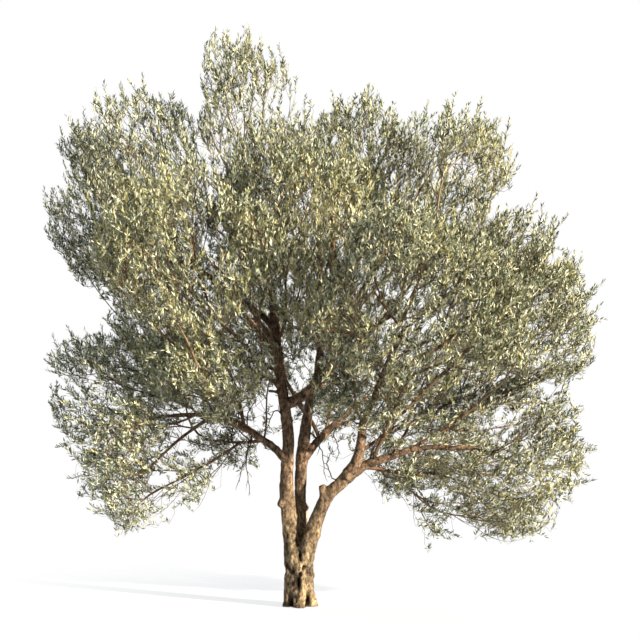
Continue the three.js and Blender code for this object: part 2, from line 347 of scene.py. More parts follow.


# Colours of the bark by the value of a noise, the heights between which the lower turns upper, and
# what multiplies them: flecks by another noise, and painted shade in the creases and a painted highlight on
# the ridges, by how far the bark stands in or out.
LOWER_BARK = ((0.32, (0.082, 0.060, 0.042)), (0.50, (0.185, 0.138, 0.090)), (0.68, (0.325, 0.250, 0.160)))
UPPER_BARK = ((0.32, (0.110, 0.072, 0.052)), (0.52, (0.175, 0.115, 0.082)), (0.70, (0.270, 0.182, 0.126)))
BARK_TURNS = (0.65, 1.45)
FLECKS = (
    (0.40, (0.28, 0.23, 0.20)),
    (0.48, (0.85, 0.83, 0.82)),
    (0.53, (1, 1, 1)),
    (0.62, (1.8, 1.75, 1.65)),
)
# Painted shade darkens the bark's pits, creases and hollows, near black in the deepest, and a painted
# highlight pales its ridges.
CREASE_SHADE_RIDGE_HIGHLIGHT = (
    (0.10, (0.04, 0.035, 0.03)),
    (0.34, (0.30, 0.27, 0.25)),
    (0.50, (1, 1, 1)),
    (0.75, (1.35, 1.3, 1.2)),
)


def bark_material():
    """Grey-brown bark, darkened by painted shade in its pits and hollows and paled by a painted highlight on
    its ridges, redder and smoother up the stems.
    """
    material = bpy.data.materials.new("bark")
    material.use_nodes = True
    tree = material.node_tree
    nodes = tree.nodes
    shader = nodes["Principled BSDF"]
    shader.inputs["Roughness"].default_value = 0.88
    shader.inputs["Specular IOR Level"].default_value = 0.2
    place = nodes.new("ShaderNodeTexCoord").outputs["Object"]

    def noise(scale, detail, stretch=1.0, roughness=0.6):
        mapping = nodes.new("ShaderNodeMapping")
        mapping.inputs["Scale"].default_value = (1, 1, stretch)
        link(tree, place, mapping.inputs["Vector"])
        texture = nodes.new("ShaderNodeTexNoise")
        texture.inputs["Scale"].default_value = scale
        texture.inputs["Detail"].default_value = detail
        texture.inputs["Roughness"].default_value = roughness
        link(tree, mapping.outputs["Vector"], texture.inputs["Vector"])
        return texture.outputs["Fac"]

    def ramp(value, stops):
        node = nodes.new("ShaderNodeValToRGB")
        ends = node.color_ramp.elements
        while len(ends) < len(stops):
            ends.new(0.5)
        for end, (position, colour) in zip(ends, stops):
            end.position = position
            end.color = (*colour, 1)
        link(tree, value, node.inputs["Fac"])
        return node.outputs["Color"]

    def mix(kind, share, first, second):
        node = nodes.new("ShaderNodeMix")
        node.data_type = "RGBA"
        node.blend_type = kind
        if isinstance(share, float):
            node.inputs["Factor"].default_value = share
        else:
            link(tree, share, node.inputs["Factor"])
        link(tree, first, node.inputs["A"])
        link(tree, second, node.inputs["B"])
        return node.outputs["Result"]

    patches = noise(9, 6, 0.45)
    lower = ramp(patches, LOWER_BARK)
    upper = ramp(patches, UPPER_BARK)
    height = nodes.new("ShaderNodeSeparateXYZ")
    link(tree, place, height.inputs["Vector"])
    rise = nodes.new("ShaderNodeMapRange")
    rise.inputs["From Min"].default_value, rise.inputs["From Max"].default_value = BARK_TURNS
    link(tree, height.outputs["Z"], rise.inputs["Value"])
    colour = mix("MIX", rise.outputs["Result"], lower, upper)

    flecks = ramp(noise(42, 4, 0.55, 0.75), FLECKS)
    colour = mix("MULTIPLY", 0.95, colour, flecks)
    relief = nodes.new("ShaderNodeAttribute")
    relief.attribute_name = "relief"
    # painted shade in pits, creases and hollows, and a painted highlight on ridges
    colour = mix("MULTIPLY", 1.0, colour, ramp(relief.outputs["Fac"], CREASE_SHADE_RIDGE_HIGHLIGHT))
    link(tree, colour, shader.inputs["Base Color"])

    bump = nodes.new("ShaderNodeBump")
    bump.inputs["Strength"].default_value = 0.9
    bump.inputs["Distance"].default_value = 0.006
    link(tree, noise(60, 8, 0.45, 0.7), bump.inputs["Height"])
    link(tree, bump.outputs["Normal"], shader.inputs["Normal"])
    return material


BARK = bark_material()

# ------------------------------------------------------------------ trunk, stems and boughs


def wall_quads(rings, sides):
    """The quads between each ring of points and the next."""
    ring = np.arange(rings - 1)[:, None] * sides
    here = np.arange(sides)[None, :]
    after = (here + 1) % sides
    quads = np.stack([ring + here, ring + after, ring + sides + after, ring + sides + here], axis=-1)
    return quads.reshape(-1, 4)


def tube(path, radii, sides, flute=0.0):
    """Points and quads of a closed tube along a path, its rings turned as little as they can be."""
    tangents = unit(np.gradient(path, axis=0))
    side = unit(np.cross(tangents[0], [0.3, 1.0, 0.2]))
    angles = np.linspace(0, 2 * math.pi, sides, endpoint=False)
    rings = []
    for centre, tangent, radius in zip(path, tangents, radii):
        side = unit(side - tangent * (side @ tangent))
        across = np.cross(tangent, side)
        swell = 1 + flute * np.cos(3 * angles + 4 * centre[2])
        rings.append(
            centre
            + np.outer(np.cos(angles) * radius * swell, side)
            + np.outer(np.sin(angles) * radius * swell, across)
        )
    return np.vstack(rings), wall_quads(len(rings), sides)


def capped(points, quads, sides):
    """Closes both ends of a tube with a fan of triangles, and returns only triangles."""
    foot = len(points)
    low = points[:sides].mean(axis=0)
    high = points[-sides:].mean(axis=0)
    here = np.arange(sides)
    after = (here + 1) % sides
    bottom = np.column_stack([np.full(sides, foot), after, here])
    top = np.column_stack([np.full(sides, foot + 1), foot - sides + here, foot - sides + after])
    triangles = np.vstack([quads[:, [0, 1, 2]], quads[:, [0, 2, 3]], bottom, top])
    return np.vstack([points, low, high]), triangles


def trunk_tube():
    """The lobed column with its root flare, as the CAD has it, in finer rings."""
    angles = np.linspace(0, 2 * math.pi, TRUNK_SIDES, endpoint=False)
    rings = []
    for z in np.linspace(0, TRUNK_HEIGHT, TRUNK_RINGS):
        up = z / TRUNK_HEIGHT
        spread_out = TRUNK_FLARE * math.exp(-z / 0.095)
        fold = 0.007 + 0.018 * math.exp(-z / 0.170)
        eased = min(max((up - 0.84) / 0.16, 0), 1)
        shoulder = 1 - 0.25 * eased * eased * (3 - 2 * eased)
        buttress = np.cos(BUTTRESSES * angles + 0.9 + 0.8 * up)
        hollow = 0.5 * np.cos(3 * angles - 1.2 + 2.2 * up)
        radius = (TRUNK_WAIST + spread_out + fold * (buttress + hollow)) * shoulder
        rings.append(
            np.column_stack(
                [
                    TRUNK_LEAN[0] * up + radius * np.cos(angles),
                    TRUNK_LEAN[1] * up + radius * 0.94 * np.sin(angles),
                    np.full(TRUNK_SIDES, z),
                ]
            )
        )
    return capped(np.vstack(rings), wall_quads(TRUNK_RINGS, TRUNK_SIDES), TRUNK_SIDES)


def limb_curves():
    """The centreline and radii of each stem and bough, by name, with a point about every 25 mm."""
    curves = {}
    for name, (radii, bends) in STEMS.items():
        count = int(length_of(np.array(bends)) / LIMB_STEP)
        curves[name] = (smooth_curve(bends, count), spread(radii, count))
    for name, (parent, leaves_at, tip, radii, rise) in BOUGHS.items():
        trail = curves[parent][0]
        start = trail[round(leaves_at * (len(trail) - 1))]
        shares = np.array([0, 0.2, 0.5, 0.8, 1])[:, None]
        bends = start + (np.array(tip) - start) * shares + UP * rise * np.sin(math.pi * shares)
        count = int(length_of(bends) / LIMB_STEP)
        curves[name] = (smooth_curve(bends, count), spread(radii, count))
    return curves


LIMBS = limb_curves()


def joined(parts):
    """Several (points, faces) as one."""
    offset = 0
    points, faces = [], []
    for part_points, part_faces in parts:
        points.append(part_points)
        faces.append(part_faces + offset)
        offset += len(part_points)
    return np.vstack(points), np.vstack(faces)


def remeshed(points, faces, voxel):
    """One skin round everything that overlaps, as (points, quads)."""
    rough = mesh_piece("rough", points, faces, [])
    modifier = rough.modifiers.new("skin", "REMESH")
    modifier.mode = "VOXEL"
    modifier.voxel_size = voxel
    graph = bpy.context.evaluated_depsgraph_get()
    skin = bpy.data.meshes.new_from_object(rough.evaluated_get(graph))
    skin_points = np.empty(len(skin.vertices) * 3, np.float32)
    skin.vertices.foreach_get("co", skin_points)
    quads = np.empty(len(skin.loops), np.int32)
    skin.loops.foreach_get("vertex_index", quads)
    bpy.data.objects.remove(rough)
    bpy.data.meshes.remove(skin)
    return skin_points.reshape(-1, 3).astype(float), quads.reshape(-1, 4)


def smoothed(points, quads, rounds):
    """Each point moved half way to the middle of its neighbours, round after round."""
    pairs = np.vstack([quads[:, [i, (i + 1) % 4]] for i in range(4)])
    pairs = np.vstack([pairs, pairs[:, ::-1]])
    counts = np.bincount(pairs[:, 0], minlength=len(points))[:, None]
    for _ in range(rounds):
        total = np.zeros_like(points)
        for axis in range(3):
            total[:, axis] = np.bincount(pairs[:, 0], points[pairs[:, 1], axis], len(points))
        points = points * 0.5 + total / counts * 0.5
    return points


def normals_of(points, quads):
    across = points[quads[:, 2]] - points[quads[:, 0]]
    along = points[quads[:, 3]] - points[quads[:, 1]]
    face = np.cross(across, along)
    total = np.zeros_like(points)
    for corner in range(4):
        for axis in range(3):
            total[:, axis] += np.bincount(quads[:, corner], face[:, axis], len(points))
    return unit(total)


# Features of the trunk: middle, half sizes, and how far the bark stands out (or in, below zero).
# Hollows, below zero, also darken the bark's colour as painted shade through its relief.
GNARLS = (
    ((0.005, -0.135, 0.408), (0.050, 0.060, 0.042), 0.030),
    ((0.048, -0.135, 0.385), (0.020, 0.060, 0.030), -0.040),
    ((0.000, -0.135, 0.245), (0.034, 0.070, 0.062), -0.080),
    ((0.022, -0.135, 0.325), (0.022, 0.070, 0.026), -0.045),
    ((0.092, -0.120, 0.055), (0.024, 0.080, 0.080), -0.075),
    ((-0.078, -0.130, 0.040), (0.024, 0.070, 0.075), -0.060),
    ((0.030, -0.150, 0.110), (0.042, 0.060, 0.120), 0.026),
    ((0.015, -0.130, 0.510), (0.012, 0.060, 0.050), -0.030),
    ((-0.120, -0.080, 0.300), (0.050, 0.060, 0.080), 0.014),
    ((0.100, 0.090, 0.330), (0.060, 0.060, 0.070), 0.022),
    ((-0.080, 0.110, 0.220), (0.028, 0.070, 0.090), -0.032),
)


def mark_relief(piece, values):
    """Stores how far the bark stands in or out, as 0 to 1, for the painted shade of its creases and hollows
    and the painted highlight of its ridges.
    """
    marks = piece.data.attributes.new("relief", "FLOAT", "POINT")
    marks.data.foreach_set("value", np.clip(0.5 + values, 0, 1).astype(np.float32))


def bark_relief(points):
    """How far the bark stands out: long folds, knots and pits, stronger on the trunk."""
    low = np.clip((1.35 - points[:, 2]) / 1.0, 0.35, 1.0)
    stretched = points * [1, 1, 0.38]
    folds = lattice_noise(stretched * 16, 1) * 0.012
    knots = lattice_noise(points * [26, 26, 17], 2) * 0.0095
    pits = np.minimum(lattice_noise(points * [44, 44, 26], 3), 0.15) * 0.013
    relief = (folds + knots + pits) * low
    for middle, half, height in GNARLS:
        away = np.linalg.norm((points - middle) / half, axis=1)
        relief += height * np.exp(-(away**2) * 1.6)
    foot = np.clip(points[:, 2] / 0.03, 0, 1)
    return relief * (0.4 + 0.6 * foot)


def trunk_and_stems():
    """The trunk and its three stems under one skin, with knobs, gnarls and a flat foot."""
    parts = [trunk_tube()]
    for name in STEMS:
        path, radii = LIMBS[name]
        points, quads = tube(path, radii, STEM_SIDES, 0.05)
        parts.append(capped(points, quads, STEM_SIDES))
    for stem, at, toward, length, radius in STUBS:
        path, _ = LIMBS[stem]
        start = path[round(at * (len(path) - 1))]
        stub = start + np.outer(np.linspace(0, 1, 6), unit(np.array(toward)) * length)
        swell = np.array([1.25, 1.2, 1.1, 1.0, 1.05, 0.85])
        points, quads = tube(stub, radius * swell, STUB_SIDES)
        parts.append(capped(points, quads, STUB_SIDES))
    points, faces = joined(parts)
    points, quads = remeshed(points, faces, SKIN_VOXEL)
    points = smoothed(points, quads, 5)
    relief = bark_relief(points)
    points = points + normals_of(points, quads) * relief[:, None]
    points = smoothed(points, quads, 1)
    points[:, 2] = np.maximum(points[:, 2], 0)
    points[:, 2] -= points[:, 2].min()
    piece = mesh_piece("bark_trunk_and_stems", points, quads, [BARK])
    mark_relief(piece, relief / FULL_RELIEF)
    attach(piece, "root")
    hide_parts("trunk", *STEMS)


def boughs():
    """Every bough as a knotted tube, with a collar where it leaves its parent."""
    parts, reliefs = [], []
    for number, name in enumerate(BOUGHS):
        path, radii = LIMBS[name]
        along = np.linspace(0, length_of(path), len(path))
        collar = 1 + 0.35 * np.exp(-((along / 0.09) ** 2)) * (BOUGHS[name][1] < 1)
        places = np.column_stack([along * 5, along * 0 + number, along * 0])
        sway = lattice_noise(places, 5)
        lift = lattice_noise(places, 6)
        inner = np.sin(math.pi * np.linspace(0, 1, len(path)))
        path = path + np.column_stack([sway * 0.3, sway, lift]) * (radii * 0.5 * inner)[:, None]
        points, quads = tube(path, radii * collar, BOUGH_SIDES)
        normals = normals_of(points, quads)
        size = np.repeat(radii, BOUGH_SIDES)
        relief = lattice_noise(points * 26, 7) * 0.16 + lattice_noise(points * 60, 8) * 0.10
        points = points + normals * (relief * size)[:, None]
        reliefs.append(np.append(relief, (0, 0)))
        parts.append(capped(points, quads, BOUGH_SIDES))
    points, faces = joined(parts)
    piece = mesh_piece("bark_boughs", points, faces, [BARK])
    mark_relief(piece, np.concatenate(reliefs))
    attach(piece, "root")
    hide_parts(*BOUGHS)


# ------------------------------------------------------------------ where shoots grow


def mass_tree(node):
    """A mass's faces, for finding how deep inside it a point is."""
    mesh = node.data
    points = [vertex.co.copy() for vertex in mesh.vertices]
    return BVHTree.FromPolygons(points, [list(face.vertices) for face in mesh.polygons])


def headings_at(tips):
    """Which way a shoot points: outward, upright at the top of the crown and level at the bottom."""
    outward = unit((tips - CROWN_MIDDLE) / CROWN_HALF)
    height = (tips[:, 2] - CROWN_FOOT) / CROWN_HEIGHT
    lift = np.clip(0.50 + 0.75 * height, 0.45, 1.1)
    return unit(outward * 0.75 + UP * lift[:, None] + rng.normal(0, 0.50, tips.shape))


def clumping(points):
    """How thickly shoots stand, from a few between the clumps to all of them inside one."""
    clumps = lattice_noise(points * CLUMPS, 31) + 0.5 * lattice_noise(points * CLUMPS * 2.1, 32)
    return np.clip(0.55 + 0.90 * clumps, 0.10, 1.0)


def openness(points):
    """How thickly the crown is leafed at each point, from the table of openings."""
    share = np.ones(len(points))
    for x, z, reach, kept in OPENINGS:
        away = ((points[:, 0] - x) ** 2 + (points[:, 2] - z) ** 2) / reach**2
        share *= 1 + (kept - 1) * np.exp(-(away**2))
    return share


def shoot_tips(name, wanted):
    """Places in a mass and their depths, the more the nearer to its skin and to the crown's."""
    tree = mass_tree(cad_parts[name])
    low, high = (np.array(corner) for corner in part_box(name))
    found, depths = [], []
    while len(found) < wanted:
        points = low + (high - low) * rng.random((TRIES, 3))
        outside = np.linalg.norm((points - CROWN_MIDDLE) / CROWN_HALF, axis=1)
        chance = clumping(points) * openness(points) * np.clip(outside, 0.45, 1) ** 1.2
        for point in points[rng.random(len(points)) < chance]:
            where, normal, _, depth = tree.find_nearest(Vector(point))
            inside = (Vector(point) - where).dot(normal) < 0
            if inside and depth > LEAST_DEPTH and rng.random() < math.exp(-depth / SHELL):
                found.append(point)
                depths.append(depth)
    return np.array(found[:wanted]), np.array(depths[:wanted])


def all_shoots():
    """Tip, base, depth in its mass and number of its mass for every shoot."""
    names = sorted(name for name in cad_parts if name.endswith("_mass"))
    sizes = []
    for name in names:
        low, high = (np.array(corner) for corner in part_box(name))
        sizes.append(np.prod(high - low) ** 0.78 * DENSITY.get(name, 1))
    shares = np.array(sizes) / sum(sizes)
    tips, depths, owners = [], [], []
    for number, (name, share) in enumerate(zip(names, shares)):
        found, depth = shoot_tips(name, round(SHOOTS * share))
        tips.append(found)
        depths.append(depth)
        owners.append(np.full(len(found), number))
    tips = np.vstack(tips)
    depths = np.concatenate(depths)
    headings = headings_at(tips)
    bases = tips - headings * rng.uniform(*SHOOT_LENGTH, (len(tips), 1)) * 0.93
    long = (depths < LONG_DEPTH) & (rng.random(len(tips)) < LONG_SHARE)
    tips[long] += headings[long] * rng.uniform(*LONG_REACH, (long.sum(), 1))
    low, high = (np.array(corner) for corner in cad_box)
    tips = np.clip(tips, low - PROUD, high + PROUD)
    return names, tips, bases, depths, np.concatenate(owners)


# ------------------------------------------------------------------ branching

TURN_COST = 0.55  # how much a sharp turn lengthens a way
PATH_COST = 0.32  # how much the length of wood back to the trunk counts


def limb_seeds():
    """Points along the limbs that twigs may leave from: place, heading, and way back to the ground."""
    places, headings, ways = [], [], []
    back = {}
    for name, (path, _) in LIMBS.items():
        if name in STEMS:
            start = path[0, 2]
        else:
            parent, leaves_at = BOUGHS[name][:2]
            start = back[parent][round(leaves_at * (len(back[parent]) - 1))]
        way = start + np.concatenate([[0], np.cumsum(np.linalg.norm(np.diff(path, axis=0), axis=1))])
        back[name] = way
        first = 0.55 if name in STEMS else 0.3
        kept = np.arange(int(first * len(path)), len(path), 3)
        kept = np.append(kept, len(path) - 1)
        headings.append(unit(np.gradient(path, axis=0))[kept])
        places.append(path[kept])
        ways.append(way[kept])
    return np.vstack(places), np.vstack(headings), np.concatenate(ways)


def join_to_limbs(seeds, headings, ways, bases):
    """Joins each base to the wood that is cheapest to reach, nearest first. Returns the parents."""
    first = len(seeds)
    place = np.vstack([seeds, bases])
    heading = np.vstack([headings, np.zeros_like(bases)])
    way = np.concatenate([ways, np.zeros(len(bases))])
    parent = np.full(len(place), -1)
    cost = np.full(len(bases), np.inf)
    nearest = np.zeros(len(bases), int)
    order = []

    def offer(node):
        gap = bases - place[node]
        distance = np.sqrt(np.einsum("ij,ij->i", gap, gap)) + 1e-6
        turn = 1 - gap @ heading[node] / distance
        price = distance * (1 + TURN_COST * turn) + PATH_COST * way[node]
        better = price < cost
        cost[better] = price[better]
        nearest[better] = node

    for node in range(first):
        offer(node)
    taken = np.zeros(len(bases), bool)
    for _ in range(len(bases)):
        pick = int(np.argmin(np.where(taken, np.inf, cost)))
        taken[pick] = True
        node = first + pick
        parent[node] = nearest[pick]
        step = place[node] - place[parent[node]]
        heading[node] = unit(unit(step) + 0.5 * heading[parent[node]])
        way[node] = way[parent[node]] + np.linalg.norm(step)
        order.append(node)
        offer(node)
        cost[taken] = -np.inf
    return place, parent, np.array(order)


def main_children(place, parent, order, first):
    """Radius of each node by the pipe rule, and each node's thickest child."""
    load = np.zeros(len(place))
    load[first:] = TWIG_RADIUS**PIPE_POWER
    for node in order[::-1]:
        load[parent[node]] += load[node]
    heir = np.full(len(place), -1)
    for node in order:
        if heir[parent[node]] < 0 or load[node] > load[heir[parent[node]]]:
            heir[parent[node]] = node
    return load ** (1 / PIPE_POWER), heir


def eased_branches(place, parent, heir, first, rounds=4):
    """Branches pulled smooth: each node moves toward the middle of its parent and its heir."""
    inner = np.where((np.arange(len(place)) >= first) & (heir >= 0))[0]
    for _ in range(rounds):
        middle = (place[parent[inner]] + place[heir[inner]]) / 2
        place[inner] += (middle - place[inner]) * 0.45
    return place


def branch_paths(parent, order, heir, first):
    """Each branch from its fork to its last node, as node numbers."""
    branches = []
    for node in order:
        if parent[node] >= first and heir[parent[node]] == node:
            continue
        branch = [parent[node], node]
        while heir[branch[-1]] >= 0:
            branch.append(heir[branch[-1]])
        branches.append(branch)
    return branches


def thin_tubes(paths, radii, sides):
    """Many thin tubes at once, each closed at its foot and ending in a point."""
    counts = np.array([len(path) for path in paths])
    flat = np.vstack(paths)
    sizes = np.concatenate(radii)
    ends = np.cumsum(counts)
    starts = ends - counts
    ahead = np.minimum(np.arange(len(flat)) + 1, np.repeat(ends - 1, counts))
    behind = np.maximum(np.arange(len(flat)) - 1, np.repeat(starts, counts))
    tangents = unit(flat[ahead] - flat[behind])
    bend = np.cross(tangents[starts], tangents[ends - 1])
    spare = np.cross(tangents[starts], unit(rng.normal(size=(len(counts), 3))))
    reference = np.repeat(unit(bend * 8 + spare * 0.3), counts, axis=0)
    side = unit(reference - tangents * np.einsum("ij,ij->i", reference, tangents)[:, None])
    across = np.cross(tangents, side)
    angles = np.linspace(0, 2 * math.pi, sides, endpoint=False)
    ring = (
        flat[:, None, :]
        + np.cos(angles)[None, :, None] * (side * sizes[:, None])[:, None, :]
        + np.sin(angles)[None, :, None] * (across * sizes[:, None])[:, None, :]
    )
    points = ring.reshape(-1, 3)
    last = ends - 1
    inner = np.ones(len(flat), bool)
    inner[last] = False
    tip = np.zeros(len(flat), bool)
    tip[last - 1] = True
    here = np.arange(sides)
    after = (here + 1) % sides
    walls = np.where(inner & ~tip)[0][:, None] * sides
    lower = np.stack([walls + here, walls + after, walls + sides + after], axis=-1).reshape(-1, 3)
    upper = np.stack([walls + here, walls + sides + after, walls + sides + here], axis=-1).reshape(-1, 3)
    cone = (last - 1)[:, None] * sides
    point = np.broadcast_to((last * sides)[:, None], (len(last), sides))
    cones = np.stack([cone + here, cone + after, point], axis=-1).reshape(-1, 3)
    points[(last * sides)] = flat[last]
    foot = starts * sides
    feet = [np.column_stack([foot, foot + i + 2, foot + i + 1]) for i in range(sides - 2)]
    owner = np.repeat(np.arange(len(counts)), counts)
    faces = np.vstack([lower, upper, cones, *feet])
    owners = owner[faces[:, 0] // sides]
    used, faces = np.unique(faces, return_inverse=True)
    return points[used], faces.reshape(-1, 3), owners


# ------------------------------------------------------------------ shoots and leaves


def shoot_curves(bases, tips, along):
    """Control points that bend each shoot from its branch's heading toward its tip, and sag or lift it."""
    length = np.linalg.norm(tips - bases, axis=1)
    height = (tips[:, 2] - CROWN_FOOT) / CROWN_HEIGHT
    droop = rng.random(len(bases)) < np.clip(0.30 - height, 0.05, 0.3)
    sag = np.where(droop, rng.uniform(0.0, 0.15, len(bases)), rng.uniform(-0.25, 0.0, len(bases)))
    middle = (bases + tips) / 2
    toward = unit(along) * 0.10 + UP * sag[:, None] + rng.normal(0, 0.05, bases.shape)
    return middle + toward * length[:, None]


def curve_points(base, control, tip, t):
    t = t[:, None]
    place = base * (1 - t) ** 2 + control * 2 * t * (1 - t) + tip * t**2
    tangent = unit((control - base) * (1 - t) + (tip - control) * t)
    return place, tangent


# A spray's base colour, from dark and blue to pale and yellow, and the values that part them.
SPRAY_COLOURS = (
    "leaf_dull_blue",
    "leaf_deep_green",
    "leaf_green",
    "leaf_grey_green",
    "leaf_olive",
    "leaf_yellow_green",
)
SPRAY_CUTS = (-0.60, -0.25, 0.20, 0.50, 0.95)

# How much paler and yellower a mass's sprays are painted as painted light, or below zero darker and bluer as
# painted shade.
MASS_PAINTED_LIGHT = {
    "centre_mass": 0.36,
    "left_front_mass": 0.40,
    "left_hanging_mass": -0.40,
    "left_inner_mass": 0.25,
    "left_lower_mass": -0.22,
    "left_upper_mass": 0.08,
    "middle_mass": 0.30,
    "right_front_mass": 0.05,
    "right_lower_mass": 0.12,
    "right_middle_mass": 0.10,
    "top_left_mass": -0.42,
}


def spray_colours(bases, painted_light_shift):
    """A base colour for each spray, with painted shade greying it on the tree's left and painted light
    yellowing it on its right, plus each mass's painted light or shade.
    """
    patch = lattice_noise(bases * 1.6, 11) + 0.6 * lattice_noise(bases * 4.5, 12)
    # painted light toward the right and painted shade toward the left, by x, and each mass's painted light or
    # shade
    patch += rng.normal(0, 0.30, len(bases)) + 0.06 * bases[:, 0] + painted_light_shift
    numbers = np.array([LEAF_NAMES.index(name) for name in SPRAY_COLOURS])
    return numbers[np.searchsorted(SPRAY_CUTS, patch)]


# A leaf's outline: how far along it, how far to the side, and its share of the leaf's bend.
FINE_OUTLINE = (
    (0.0, 0.0, 0.0),
    (0.36, 0.5, 0.30),
    (0.36, -0.5, 0.30),
    (0.72, -0.36, 0.55),
    (0.72, 0.36, 0.55),
    (1.0, 0.0, 1.0),
)
FINE_FACES = ((0, 2, 1), (1, 2, 3), (1, 3, 4), (4, 3, 5))
PLAIN_OUTLINE = ((0.0, 0.0, 0.0), (0.42, -0.54, 0.35), (1.0, 0.0, 1.0), (0.48, 0.54, 0.35))
PLAIN_FACES = ((0, 1, 3), (3, 1, 2))


# Leaves that show their pale side, pale cream ones as a painted highlight and deep green ones as painted
# shade: colour, and the range of a draw from 0 to 1 that gives it.
ODD_LEAVES = (
    ("leaf_silver", 0.0, 0.17),
    ("leaf_blue_grey", 0.17, 0.27),
    ("leaf_yellow_green", 0.27, 0.36),
    # cream leaves: painted highlight
    ("leaf_cream", 0.36, 0.54),
    # deep green leaves here: painted shade
    ("leaf_deep_green", 0.54, 0.64),
)


def leaves_of(base, control, tip, length, colours, outline, pattern):
    """Every leaf of the given shoots: points, triangles and colour numbers."""
    counts = np.maximum(8, (length / LEAF_SPACING).astype(int))
    owner = np.repeat(np.arange(len(base)), counts)
    number = np.arange(len(owner)) - np.repeat(np.cumsum(counts) - counts, counts)
    pair = number // 2
    pairs = (counts[owner] + 1) // 2
    t = 0.10 + 0.90 * (pair + 0.5 + rng.uniform(-0.25, 0.25, len(owner))) / pairs
    t = np.clip(t, 0, 1)
    place, axis = curve_points(base[owner], control[owner], tip[owner], t)
    spare = unit(rng.normal(size=base.shape))[owner]
    side = unit(spare - axis * np.einsum("ij,ij->i", spare, axis)[:, None])
    across = np.cross(axis, side)
    turn = pair * (math.pi / 2) + (number % 2) * math.pi + rng.normal(0, 0.3, len(owner))
    radial = side * np.cos(turn)[:, None] + across * np.sin(turn)[:, None]
    lean = np.radians(rng.normal(50, 15, len(owner)) - 24 * t**4)[:, None]
    blade = unit(axis * np.cos(lean) + radial * np.sin(lean) + UP * LEAF_LIFT)
    face = axis * np.sin(lean) - radial * np.cos(lean)
    face = unit(face - blade * np.einsum("ij,ij->i", face, blade)[:, None])
    edge = np.cross(blade, face)
    roll = rng.normal(0, 0.7, len(owner))[:, None]
    edge, face = edge * np.cos(roll) + face * np.sin(roll), face * np.cos(roll) - edge * np.sin(roll)
    long = rng.uniform(*LEAF_LENGTH, len(owner)) * (1 - 0.30 * t**4) * (0.75 + 0.25 * np.minimum(t / 0.25, 1))
    wide = long * LEAF_WIDTH * rng.uniform(0.85, 1.15, len(owner))
    bend = rng.uniform(-0.16, 0.10, len(owner)) * long
    corners = [
        place + blade * (long * x)[:, None] + edge * (wide * y)[:, None] + face * (bend * z)[:, None]
        for x, y, z in outline
    ]
    points = np.stack(corners, axis=1).reshape(-1, 3)
    faces = (np.arange(len(owner))[:, None, None] * len(outline) + np.array(pattern)).reshape(-1, 3)
    colour = colours[owner]
    draw = rng.random(len(owner))
    for name, low, high in ODD_LEAVES:
        colour = np.where((draw >= low) & (draw < high), LEAF_NAMES.index(name), colour)
    return points, faces, np.repeat(colour, len(pattern))


def crown():
    """Branches, twigs and leaves of every mass."""
    names, tips, bases, depths, owners = all_shoots()
    seeds, headings, ways = limb_seeds()
    first = len(seeds)
    place, parent, order = join_to_limbs(seeds, headings, ways, bases)
    radius, heir = main_children(place, parent, order, first)
    place = eased_branches(place, parent, heir, first)
    base, tip, length = place[first:], tips, np.linalg.norm(tips - place[first:], axis=1)
    control = shoot_curves(base, tip, base - place[parent[first:]])
    # each mass's painted light or shade
    painted_light_shift = np.array([MASS_PAINTED_LIGHT.get(name, 0) for name in names])
    colours = spray_colours(base, painted_light_shift[owners])
    twig_colour = rng.integers(0, len(TWIGS), len(place))

    paths = {number: [] for number in range(len(names))}
    for branch in branch_paths(parent, order, heir, first):
        owner = owners[branch[-1] - first]
        bends = place[branch]
        size = radius[branch]
        size[0] = min(size[0], size[1] * 1.15)
        last = branch[-1] - first
        bends = np.vstack([bends, control[last], tip[last]])
        size = np.concatenate([size, [TWIG_RADIUS * 0.8, TWIG_RADIUS * 0.4]])
        if len(bends) > 3:
            span = length_of(bends)
            count = max(4, int(span / 0.11) + 1)
            old = np.concatenate([[0], np.cumsum(np.linalg.norm(np.diff(bends, axis=0), axis=1))])
            bends = smooth_curve(bends, count)
            size = np.interp(np.linspace(0, span, count), old, size)
        sides = 6 if size[0] > 0.010 else 4 if size[0] > 0.005 else 3
        paths[owner].append((bends, size, sides, twig_colour[branch[1]]))
    for node in range(first, len(place)):
        if heir[node] >= 0:
            last = node - first
            t = np.array([0, 0.5, 1])
            line, _ = curve_points(base[last], control[last], tip[last], t)
            size = TWIG_RADIUS * np.array([1.0, 0.8, 0.4])
            paths[owners[last]].append((line, size, 3, twig_colour[node]))

    for number, name in enumerate(names):
        place_name = name.removesuffix("_mass")
        parts, slots = [], []
        for sides in (3, 4, 6):
            chosen = [row for row in paths[number] if row[2] == sides]
            if not chosen:
                continue
            points, faces, tube_owner = thin_tubes([r[0] for r in chosen], [r[1] for r in chosen], sides)
            parts.append((points, faces))
            slots.append(np.array([r[3] for r in chosen])[tube_owner])
        points, faces = joined(parts)
        twigs = mesh_piece(f"twigs_{place_name}", points, faces, TWIGS, np.concatenate(slots))
        parts, slots = [], []
        for fine, outline, pattern in ((True, FINE_OUTLINE, FINE_FACES), (False, PLAIN_OUTLINE, PLAIN_FACES)):
            mine = (owners == number) & ((depths < FINE_DEPTH) == fine)
            points, faces, slot_of = leaves_of(
                base[mine], control[mine], tip[mine], length[mine], colours[mine], outline, pattern
            )
            parts.append((points, faces))
            slots.append(slot_of)
        points, faces = joined(parts)
        slots = np.concatenate(slots)
        leaves = mesh_piece(f"leaves_{place_name}", points, faces, LEAVES, slots, smooth=False)
        for piece, slot in ((twigs, "bark"), (leaves, "foliage")):
            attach(piece, "root")
            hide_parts(name)


